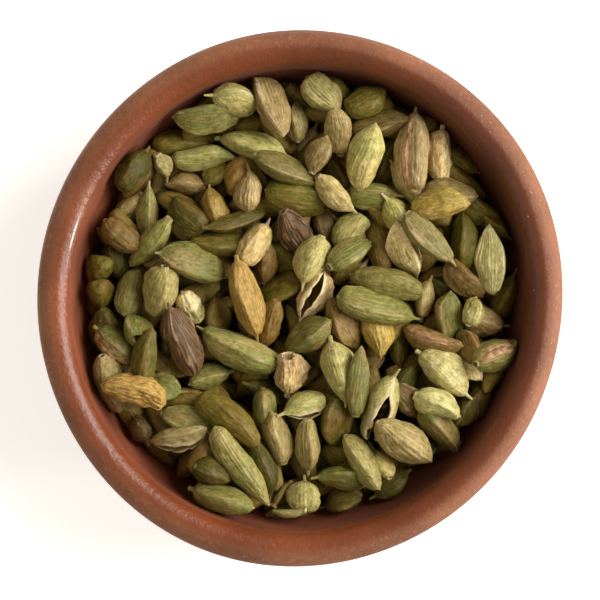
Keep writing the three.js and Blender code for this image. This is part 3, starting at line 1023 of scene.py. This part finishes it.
def pods_mesh(name, pods, light, dark, blush, shrivel=0.0):
    """All pods of one kind in one mesh, each in its own tone from dark to light, and partly blushed.

    For a tone beyond dark or light, a pod is as much darker or brighter as BEYOND says.
    """
    all_points, all_quads, all_triangles, all_marks = [], [], [], []
    count = 0
    for pod in pods:
        points, marks = fine_skin(pod, pod.rings, pod.spokes, shrivel)
        walls, fans = skin_faces(pod.rings, pod.spokes)
        tone = min(max(pod.tone, 0), 1)
        tint = mixed(np.array(screen(*dark)), light, tone)
        tint[:3] *= pod.draw.uniform(0.95, 1.05, 3)
        amount = pod.draw.uniform(0.0, 1.0) * smooth_step(0.35, 0.85, marks.pop("shade"))[:, None]
        tints = mixed(tint, blush, amount)
        tints[:, :3] *= 1 + BEYOND * (pod.tone - tone)
        tints = mixed(tints, SEED_COLOUR, marks.pop("knob")[:, None])
        tints = mixed(tints, RIM_COLOUR, marks.pop("cap")[:, None])
        # Painted shade in the pod's hollows, by the dark mark.
        tints[:, :3] *= 1 - marks.pop("dark")[:, None] * HOLLOW_PAINTED_SHADE
        marks["tint"] = tints
        all_points.append(points)
        all_quads.append(walls + count)
        all_triangles.append(fans + count)
        all_marks.append(marks)
        count += len(points)
    joined = {mark: np.concatenate([marks[mark] for marks in all_marks]) for mark in all_marks[0]}
    quads, triangles = np.concatenate(all_quads), np.concatenate(all_triangles)
    return smooth_mesh(name, np.concatenate(all_points), quads, triangles, joined)


# The skin that all pods share: a papery husk with longwise fibres and brown patches, and ribs with painted
# light and shade.
FIBRES_PER_METRE = 2300
MOTTLES_PER_METRE = 620
BLOTS_PER_METRE = 380
VALLEY_PAINTED_SHADE = (0.60, 0.54, 0.36, 1)
FIBRE_MOST = 0.62
END_MOST = 0.8
HUSK_ROUGHNESS = 0.5
HUSK_SHINE = 0.22
FIBRE_STRENGTH = 0.8
FIBRE_DEPTH = 0.00020

pod_skin = bpy.data.node_groups.new("pod_skin", "ShaderNodeTree")
for name, socket, default in (
    ("Patches", "NodeSocketFloat", 0.3),
    ("Patch Color", "NodeSocketColor", screen(140, 98, 60)),
    ("Rib Color", "NodeSocketColor", screen(214, 202, 150)),
    ("Rib Share", "NodeSocketFloat", 0.24),
    ("Worn Color", "NodeSocketColor", screen(214, 190, 146)),
    ("Worn Share", "NodeSocketFloat", 0.68),
    ("End Color", "NodeSocketColor", screen(196, 166, 124)),
):
    pod_skin.interface.new_socket(name, in_out="INPUT", socket_type=socket).default_value = default
pod_skin.interface.new_socket("Color", in_out="OUTPUT", socket_type="NodeSocketColor")
pod_skin.interface.new_socket("Height", in_out="OUTPUT", socket_type="NodeSocketFloat")
skin_in = add(pod_skin, "NodeGroupInput").outputs
skin_out = add(pod_skin, "NodeGroupOutput").inputs
skin_grain = mark_of(pod_skin, "grain", "Vector")
skin_tint = mark_of(pod_skin, "tint", "Color")
fibres = clouds(pod_skin, skin_grain, FIBRES_PER_METRE, 3.0, 0.6)
mottle = clouds(pod_skin, own_place(pod_skin), MOTTLES_PER_METRE, 4.0, 0.62)
blots = clouds(pod_skin, skin_grain, BLOTS_PER_METRE, 3.0, 0.6)
crest = mark_of(pod_skin, "crest")
# The valleys between the ribs are painted darker, as painted shade; the mottle also darkens the skin at
# random by the same colour.
valley_painted_shade = laid_over(pod_skin, 1.0, skin_tint, VALLEY_PAINTED_SHADE, "MULTIPLY")
half_crest = worked_out(pod_skin, "MULTIPLY", crest, 0.5)
lit = worked_out(pod_skin, "ADD", between(pod_skin, mottle, 0.28, 0.62), half_crest)
skin_colour = laid_over(pod_skin, worked_out(pod_skin, "MINIMUM", lit, 1.0), valley_painted_shade, skin_tint)
# The rib crests are mixed toward the rib colour: partly the husk's own paler ribs, partly painted highlight.
rib_share = worked_out(pod_skin, "MULTIPLY", crest, skin_in["Rib Share"])
skin_colour = laid_over(pod_skin, rib_share, skin_colour, skin_in["Rib Color"])
fibre_share = between(pod_skin, fibres, 0.42, 0.74, 0.0, FIBRE_MOST)
skin_colour = laid_over(pod_skin, fibre_share, skin_colour, skin_tint, "ADD")
patch_share = worked_out(pod_skin, "MULTIPLY", between(pod_skin, blots, 0.54, 0.66), skin_in["Patches"])
skin_colour = laid_over(pod_skin, patch_share, skin_colour, skin_in["Patch Color"])
worn_fibres = between(pod_skin, fibres, 0.35, 0.6, 0.4, 1.0)
worn = worked_out(pod_skin, "MULTIPLY", mark_of(pod_skin, "worn"), worn_fibres)
worn = worked_out(pod_skin, "MULTIPLY", worn, skin_in["Worn Share"])
skin_colour = laid_over(pod_skin, worn, skin_colour, skin_in["Worn Color"])
end_share = between(pod_skin, mark_of(pod_skin, "near_end"), 0.70, 0.98, 0.0, END_MOST)
skin_colour = laid_over(pod_skin, end_share, skin_colour, skin_in["End Color"])
feed(pod_skin, skin_out["Color"], skin_colour)
feed(pod_skin, skin_out["Height"], worked_out(pod_skin, "ADD", fibres, mottle))


def pod_finish(name, dark, worn, rib, patches=0.3, rib_share=0.3):
    """A pod material: the shared skin with this kind's own colours and shares."""
    material, tree, shader = new_finish(name)
    own = {
        "Patches": patches,
        "Rib Color": screen(*rib),
        "Rib Share": rib_share,
        "Worn Color": screen(*worn),
        "End Color": screen(*[(first + second) / 2 for first, second in zip(dark, worn)]),
    }
    skin = add(tree, "ShaderNodeGroup", node_tree=pod_skin)
    for socket, value in own.items():
        skin.inputs[socket].default_value = value
    feed(tree, shader.inputs["Base Color"], skin.outputs["Color"])
    relief(tree, shader, skin.outputs["Height"], FIBRE_STRENGTH, FIBRE_DEPTH)
    shader.inputs["Roughness"].default_value = HUSK_ROUGHNESS
    shader.inputs["Specular IOR Level"].default_value = HUSK_SHINE
    return material


def grown_from(name, mesh, tree, values):
    """The plain mesh that a Geometry Nodes tree makes of a mesh, with the tree's inputs by name."""
    holder = bpy.data.objects.new(name, mesh)
    bpy.context.scene.collection.objects.link(holder)
    maker = holder.modifiers.new(name, "NODES")
    maker.node_group = tree
    for item in tree.interface.items_tree:
        if item.in_out == "INPUT" and item.name in values:
            maker[item.identifier] = values[item.name]
    made = bpy.data.meshes.new_from_object(holder.evaluated_get(bpy.context.evaluated_depsgraph_get()))
    holder.modifiers.remove(maker)
    bpy.data.objects.remove(holder)
    made.shade_smooth()
    return made


def new_tree(name, sockets):
    """A Geometry Nodes tree from one geometry to another, with its other inputs, and its two ends."""
    tree = bpy.data.node_groups.new(name, "GeometryNodeTree")
    tree.interface.new_socket("Base", in_out="INPUT", socket_type="NodeSocketGeometry")
    tree.interface.new_socket("Made", in_out="OUTPUT", socket_type="NodeSocketGeometry")
    for socket, kind in sockets.items():
        tree.interface.new_socket(socket, in_out="INPUT", socket_type="NodeSocket" + kind)
    return tree, add(tree, "NodeGroupInput").outputs, add(tree, "NodeGroupOutput").inputs


def placed_copies(tree, points, shape, turn, size, material):
    """Copies of a shape on points, made real and given a material."""
    copies = {"Points": points, "Instance": shape, "Rotation": turn, "Scale": size}
    copies = add(tree, "GeometryNodeInstanceOnPoints", copies).outputs["Instances"]
    real = add(tree, "GeometryNodeRealizeInstances", {"Geometry": copies}).outputs["Geometry"]
    return add(tree, "GeometryNodeSetMaterial", {"Geometry": real, "Material": material}).outputs["Geometry"]


def places_mesh(name, places, marks):
    """A mesh of bare points with marks."""
    return smooth_mesh(name, places, np.empty((0, 4)), np.empty((0, 3)), marks)


def said_by(tree, name, kind="FLOAT_VECTOR"):
    """What a mesh's points say under a name, in Geometry Nodes."""
    return add(tree, "GeometryNodeInputNamedAttribute", {"Name": name}, data_type=kind).outputs["Attribute"]


capsule = loose_pod(1.0, 1.0)
capsule.length, capsule.pitch = LOOSE_LENGTH, 0.0
capsule.rings, capsule.spokes = LOOSE_RINGS, LOOSE_SPOKES
capsule_mesh = pods_mesh("capsule", [capsule], LOOSE_LIGHT, LOOSE_DARK, LOOSE_DARK)
capsule_mesh.attributes.remove(capsule_mesh.attributes["tint"])
capsule_shape = bpy.data.objects.new("capsule", capsule_mesh)
bpy.context.scene.collection.objects.link(capsule_shape)
loose_tones = loose_draw.random((len(loose_pods), 1))
longer = np.array([pod.length / LOOSE_LENGTH for pod in loose_pods])
thicker = np.array([pod.half_width() / capsule.half_width() for pod in loose_pods])
loose_places = np.array([pod.place for pod in loose_pods])
loose_marks = {
    "turn": np.array([[pod.roll, -pod.pitch, pod.heading] for pod in loose_pods]),
    "size": np.stack([longer, thicker, thicker], -1),
    "tint": mixed(np.array(screen(*LOOSE_DARK)), LOOSE_LIGHT, loose_tones),
}
loose_tree, loose_in, loose_out = new_tree("dropped_pods", {"Capsule": "Object", "Finish": "Material"})
shape = add(loose_tree, "GeometryNodeObjectInfo", {"Object": loose_in["Capsule"]}).outputs["Geometry"]
turn, size = said_by(loose_tree, "turn"), said_by(loose_tree, "size")
dropped = placed_copies(loose_tree, loose_in["Base"], shape, turn, size, loose_in["Finish"])
feed(loose_tree, loose_out["Made"], dropped)
loose_finish = pod_finish("loose_husk", LOOSE_DARK, LOOSE_WORN, LOOSE_RIB)
loose_points = places_mesh("loose_places", loose_places, loose_marks)
loose_values = {"Capsule": capsule_shape, "Finish": loose_finish}
loose_mesh = grown_from("loose_places", loose_points, loose_tree, loose_values)
bpy.data.objects.remove(capsule_shape)
show("pods_under", loose_mesh, loose_finish)

# ---------------------------------------------------------------------------------------------
# Pale pods: the freshest capsules, dried yellow-green with a smooth papery husk. They are picked
# unripe and dried whole, so that the seeds press out as soft bumps.
def show_pods(kind, light, dark, blush, worn, rib, shrivel=0.0, patches=0.3, rib_share=0.3):
    """Makes and shows the pods of one kind, in the colours of their husk."""
    mesh = pods_mesh(kind + "_pods", kinds[kind], light, dark, blush, shrivel)
    finish = pod_finish(kind + "_husk", dark, worn, rib, patches, rib_share)
    show("pods_" + kind, mesh, finish)


show_pods(
    "pale",
    light=(166, 160, 99),
    dark=(136, 133, 76),
    blush=(164, 146, 95),
    worn=(205, 188, 142),
    rib=(202, 191, 132),
    patches=0.2,
)

# ---------------------------------------------------------------------------------------------
# Green pods: capsules that kept their colour in the drying, with a tight husk of olive green. Some
# have a crack along one side, through which the pale skin of the seeds shows.
show_pods(
    "green",
    light=(131, 127, 70),
    dark=(104, 104, 50),
    blush=(138, 120, 71),
    worn=(192, 168, 122),
    rib=(172, 162, 102),
    patches=0.25,
)

# ---------------------------------------------------------------------------------------------
# Dark pods: older green capsules, low in the heap, with a dull husk gone olive brown.
show_pods(
    "dark",
    light=(102, 94, 36),
    dark=(76, 71, 25),
    blush=(101, 86, 38),
    worn=(143, 120, 70),
    rib=(130, 120, 58),
    shrivel=0.01,
)

# ---------------------------------------------------------------------------------------------
# Straw pods: riper capsules, dried to a yellow buff husk with clear longwise ribs.
show_pods(
    "straw",
    light=(170, 154, 104),
    dark=(139, 127, 77),
    blush=(143, 131, 80),
    worn=(206, 180, 134),
    rib=(212, 195, 143),
    shrivel=0.01,
)

# ---------------------------------------------------------------------------------------------
# Tan pods: capsules bleached by the sun to light brown, with worn pale ridges.
show_pods(
    "tan",
    light=(176, 157, 106),
    dark=(137, 118, 74),
    blush=(137, 128, 76),
    worn=(214, 190, 148),
    rib=(206, 184, 138),
    shrivel=0.015,
    patches=0.45,
)

# ---------------------------------------------------------------------------------------------
# Golden pods: ripe capsules that were picked late and dried yellow, with a firm smooth husk.
show_pods(
    "gold",
    light=(167, 141, 74),
    dark=(138, 114, 57),
    blush=(155, 142, 81),
    worn=(190, 154, 94),
    rib=(197, 172, 106),
    shrivel=0.01,
)

# ---------------------------------------------------------------------------------------------
# Brown pods: thin old capsules with a crumpled brown husk, low in the heap.
show_pods(
    "brown",
    light=(128, 102, 52),
    dark=(94, 75, 40),
    blush=(113, 101, 55),
    worn=(170, 140, 99),
    rib=(157, 132, 84),
    shrivel=0.025,
    patches=0.4,
)

# ---------------------------------------------------------------------------------------------
# Husky pods: bleached capsules with a coarse buff husk, torn open or worn down to the pale seed
# skin in places.
show_pods(
    "husky",
    light=(232, 212, 162),
    dark=(167, 141, 94),
    blush=(202, 178, 125),
    worn=(240, 222, 184),
    rib=(238, 218, 176),
    shrivel=0.035,
    patches=0.8,
    rib_share=0.6,
)

# ---------------------------------------------------------------------------------------------
# Withered pods: two shrunken capsules, gone grey-brown, with sharp pale wrinkles.
show_pods(
    "withered",
    light=(74, 58, 36),
    dark=(63, 49, 33),
    blush=(94, 72, 47),
    worn=(190, 157, 129),
    rib=(180, 146, 118),
    shrivel=0.05,
    patches=0.5,
    rib_share=0.6,
)

# ---------------------------------------------------------------------------------------------
# Cream pods: the palest capsules, bleached to a yellowish white. One has a torn white cap.
show_pods(
    "cream",
    light=(205, 194, 142),
    dark=(176, 168, 108),
    blush=(155, 148, 82),
    worn=(234, 224, 182),
    rib=(224, 213, 165),
    shrivel=0.01,
    patches=0.25,
)

# ---------------------------------------------------------------------------------------------
# The seeds: small hard lumps with a dark brown skin, stuck together inside the husks that gape.
# Geometry Nodes set copies of one knobbly seed along the middle of each husk that is split wide open.
SEED_SIZE = 0.0011
SEED_LUMPS = 0.0005
SEED_LUMPS_PER_METRE = 900.0
SEED_ROWS = 5
SEED_STRETCH = np.array([1.25, 1.0, 0.85])
WIDE_SPLIT = math.radians(60)
SEEDS_DARK = (52, 32, 18)
SEEDS_LIGHT = (104, 72, 44)

seed_draw = np.random.default_rng(31)
seed_places = []
for pod in sum(kinds.values(), []):
    if pod.split > WIDE_SPLIT:
        shares = np.linspace(0.22, 0.74, SEED_ROWS)
        middle = pod.placed(pod.spine(shares))
        for sideways in (-1, 1):
            scatter = seed_draw.uniform(-1, 1, (SEED_ROWS, 3)) * SEED_SIZE / 3
            across = np.array([-math.sin(pod.heading), math.cos(pod.heading), 0]) * sideways * SEED_SIZE * 0.8
            seed_places.append(middle + scatter + across - np.array([0, 0, SEED_SIZE / 2]))
seed_places = np.concatenate(seed_places)
seed_sockets = {"Size": "Float", "Lumps": "Float", "Lumps Per Metre": "Float", "Finish": "Material"}
seed_tree, seed_in, seed_out = new_tree("seeds_in_husks", seed_sockets)


def ball_of(tree, radius, fineness):
    """A ball of triangles, in Geometry Nodes."""
    values = {"Radius": radius, "Subdivisions": fineness}
    return add(tree, "GeometryNodeMeshIcoSphere", values).outputs["Mesh"]


seed_noise = {"Scale": seed_in["Lumps Per Metre"], "Detail": 1.0}
seed_noise = add(seed_tree, "ShaderNodeTexNoise", seed_noise).outputs["Fac"]
seed_push = worked_out(seed_tree, "SUBTRACT", seed_noise, 0.5)
seed_push = worked_out(seed_tree, "MULTIPLY", seed_push, seed_in["Lumps"])
seed_push = {0: add(seed_tree, "GeometryNodeInputNormal").outputs["Normal"], "Scale": seed_push}
seed_push = add(seed_tree, "ShaderNodeVectorMath", seed_push, operation="SCALE").outputs[0]
lumpy_seed = {"Geometry": ball_of(seed_tree, seed_in["Size"], 3), "Offset": seed_push}
lumpy_seed = add(seed_tree, "GeometryNodeSetPosition", lumpy_seed).outputs["Geometry"]
turn, size = said_by(seed_tree, "turn"), said_by(seed_tree, "size")
seeds = placed_copies(seed_tree, seed_in["Base"], lumpy_seed, turn, size, seed_in["Finish"])
feed(seed_tree, seed_out["Made"], seeds)
seed_finish, seeds_tree, seeds_shader = new_finish("seed_skin")
seeds_cloud = clouds(seeds_tree, own_place(seeds_tree), SEED_LUMPS_PER_METRE, 3.0, 0.6)
seeds_colour = laid_over(seeds_tree, seeds_cloud, screen(*SEEDS_DARK), screen(*SEEDS_LIGHT))
feed(seeds_tree, seeds_shader.inputs["Base Color"], seeds_colour)
seeds_shader.inputs["Roughness"].default_value = 0.6
seed_marks = {
    "turn": seed_draw.uniform(0, 2 * math.pi, (len(seed_places), 3)),
    "size": seed_draw.uniform(0.8, 1.15, (len(seed_places), 3)) * SEED_STRETCH,
}
seed_values = {
    "Size": SEED_SIZE,
    "Lumps": SEED_LUMPS,
    "Lumps Per Metre": SEED_LUMPS_PER_METRE,
    "Finish": seed_finish,
}
seed_points = places_mesh("seed_places", seed_places, seed_marks)
seed_mesh = grown_from("seed_places", seed_points, seed_tree, seed_values)
show("seeds", seed_mesh, seed_finish)

# ---------------------------------------------------------------------------------------------
# The grit: grains of pale sand that were fired into the lip and stand out from the clay on its
# right side. Geometry Nodes scatter them where the dish's skin is marked as gritty.
GRIT_SIZE = 0.00016
GRIT_PER_SQUARE_METRE = 60000.0
GRIT_SEED = 4
GRIT_SMALLEST = (0.6, 0.6, 0.4)
GRIT_LARGEST = (1.9, 1.6, 1.0)
GRIT_COLOUR = (196, 166, 142)
GRIT_SPOTS_PER_METRE = 1500

grit_sockets = {"Size": "Float", "Per Area": "Float", "Seed": "Int", "Finish": "Material"}
grit_tree, grit_in, grit_out = new_tree("grit_on_the_lip", grit_sockets)
density = worked_out(grit_tree, "MULTIPLY", said_by(grit_tree, "gritty", "FLOAT"), grit_in["Per Area"])
scatter = {"Mesh": grit_in["Base"], "Density": density, "Seed": grit_in["Seed"]}
scattered = add(grit_tree, "GeometryNodeDistributePointsOnFaces", scatter).outputs
grain = ball_of(grit_tree, grit_in["Size"], 1)
size = {0: GRIT_SMALLEST, 1: GRIT_LARGEST, "Seed": grit_in["Seed"]}
size = add(grit_tree, "FunctionNodeRandomValue", size, data_type="FLOAT_VECTOR").outputs[0]
turn = scattered["Rotation"]
grains = placed_copies(grit_tree, scattered["Points"], grain, turn, size, grit_in["Finish"])
feed(grit_tree, grit_out["Made"], grains)
grit_finish, sand_tree, sand_shader = new_finish("fired_sand")
sand_cloud = clouds(sand_tree, own_place(sand_tree), GRIT_SPOTS_PER_METRE)
sand_colour = laid_over(sand_tree, sand_cloud, screen(*CLAY_LIGHT), screen(*GRIT_COLOUR))
feed(sand_tree, sand_shader.inputs["Base Color"], sand_colour)
sand_shader.inputs["Roughness"].default_value = 0.7
grit_values = {"Size": GRIT_SIZE, "Per Area": GRIT_PER_SQUARE_METRE, "Seed": GRIT_SEED, "Finish": grit_finish}
grit_mesh = grown_from("gritty_lip", dish_mesh, grit_tree, grit_values)
show("lip_grit", grit_mesh, grit_finish)

# ---------------------------------------------------------------------------------------------
# The floor, the light and the camera. The light is a wide window low on the right, and the camera
# looks straight down.
FLOOR_SIZE = 3.0
PAPER = (0.86, 0.86, 0.85, 1)
PAPER_GLOW = 0.6
WHITE = (1.0, 1.0, 1.0, 1.0)

floor_mesh = bpy.data.meshes.new("floor")
half = FLOOR_SIZE / 2
floor_corners = [(-half, -half, 0), (half, -half, 0), (half, half, 0), (-half, half, 0)]
floor_mesh.from_pydata(floor_corners, [], [(0, 1, 2, 3)])
floor = bpy.data.objects.new("floor", floor_mesh)
bpy.context.scene.collection.objects.link(floor)
paper, _, paper_shader = new_finish("pale_paper")
paper_shader.inputs["Base Color"].default_value = PAPER
paper_shader.inputs["Roughness"].default_value = 0.9
paper_shader.inputs["Emission Color"].default_value = WHITE
paper_shader.inputs["Emission Strength"].default_value = PAPER_GLOW
floor_mesh.materials.append(paper)


def window(name, azimuth, elevation, distance, size, watts, tint):
    """A soft square light that faces the dish, at angles in degrees from +X and above the floor."""
    light = bpy.data.lights.new(name, "AREA")
    light.shape = "SQUARE"
    light.size = size
    light.energy = watts
    light.color = tint
    lamp = bpy.data.objects.new(name, light)
    bpy.context.scene.collection.objects.link(lamp)
    turn, lift = math.radians(azimuth), math.radians(elevation)
    toward = Vector((math.cos(turn) * math.cos(lift), math.sin(turn) * math.cos(lift), math.sin(lift)))
    lamp.location = toward * distance + Vector((0, 0, LIP_HEIGHT))
    lamp.rotation_euler = toward.to_track_quat("Z", "Y").to_euler()
    return lamp


DAYLIGHT = (1.0, 0.97, 0.92)
LOW_SUN = {"azimuth": -16, "elevation": 14, "distance": 1.0, "tint": DAYLIGHT}
window("window", azimuth=18, elevation=38, distance=1.0, size=0.7, watts=14.6, tint=DAYLIGHT)
window("low_window", size=0.12, watts=3.0, **LOW_SUN)
glint = window("glint", size=0.05, watts=3.6, **LOW_SUN)
glint.visible_diffuse = False
window("far_window", azimuth=200, elevation=50, distance=1.2, size=0.8, watts=1.2, tint=(1.0, 0.92, 0.78))

ROOM_LIGHT = 0.35
ROOM_TINT = (1.0, 0.90, 0.70, 1.0)
ROOM_SEEN = 0.95
world = bpy.data.worlds.new("room")
world.use_nodes = True
room_tree = world.node_tree
room = room_tree.nodes["Background"]
seen = add(room_tree, "ShaderNodeLightPath").outputs["Is Camera Ray"]
feed(room_tree, room.inputs["Color"], laid_over(room_tree, seen, ROOM_TINT, WHITE))
feed(room_tree, room.inputs["Strength"], between(room_tree, seen, 0.0, 1.0, ROOM_LIGHT, ROOM_SEEN))
bpy.context.scene.world = world

SENSOR = 36.0
camera_data = bpy.data.cameras.new("camera")
camera_data.sensor_width = SENSOR
camera_data.lens = SENSOR * (CAMERA_HEIGHT - LIP_HEIGHT) / (FRAME_PIXELS * PIXEL)
camera_data.clip_start = 0.01
camera = bpy.data.objects.new("camera", camera_data)
camera.location = (CAMERA_X, CAMERA_Y, CAMERA_HEIGHT)
bpy.context.scene.collection.objects.link(camera)
bpy.context.scene.camera = camera
bpy.context.scene.view_settings.view_transform = "Standard"
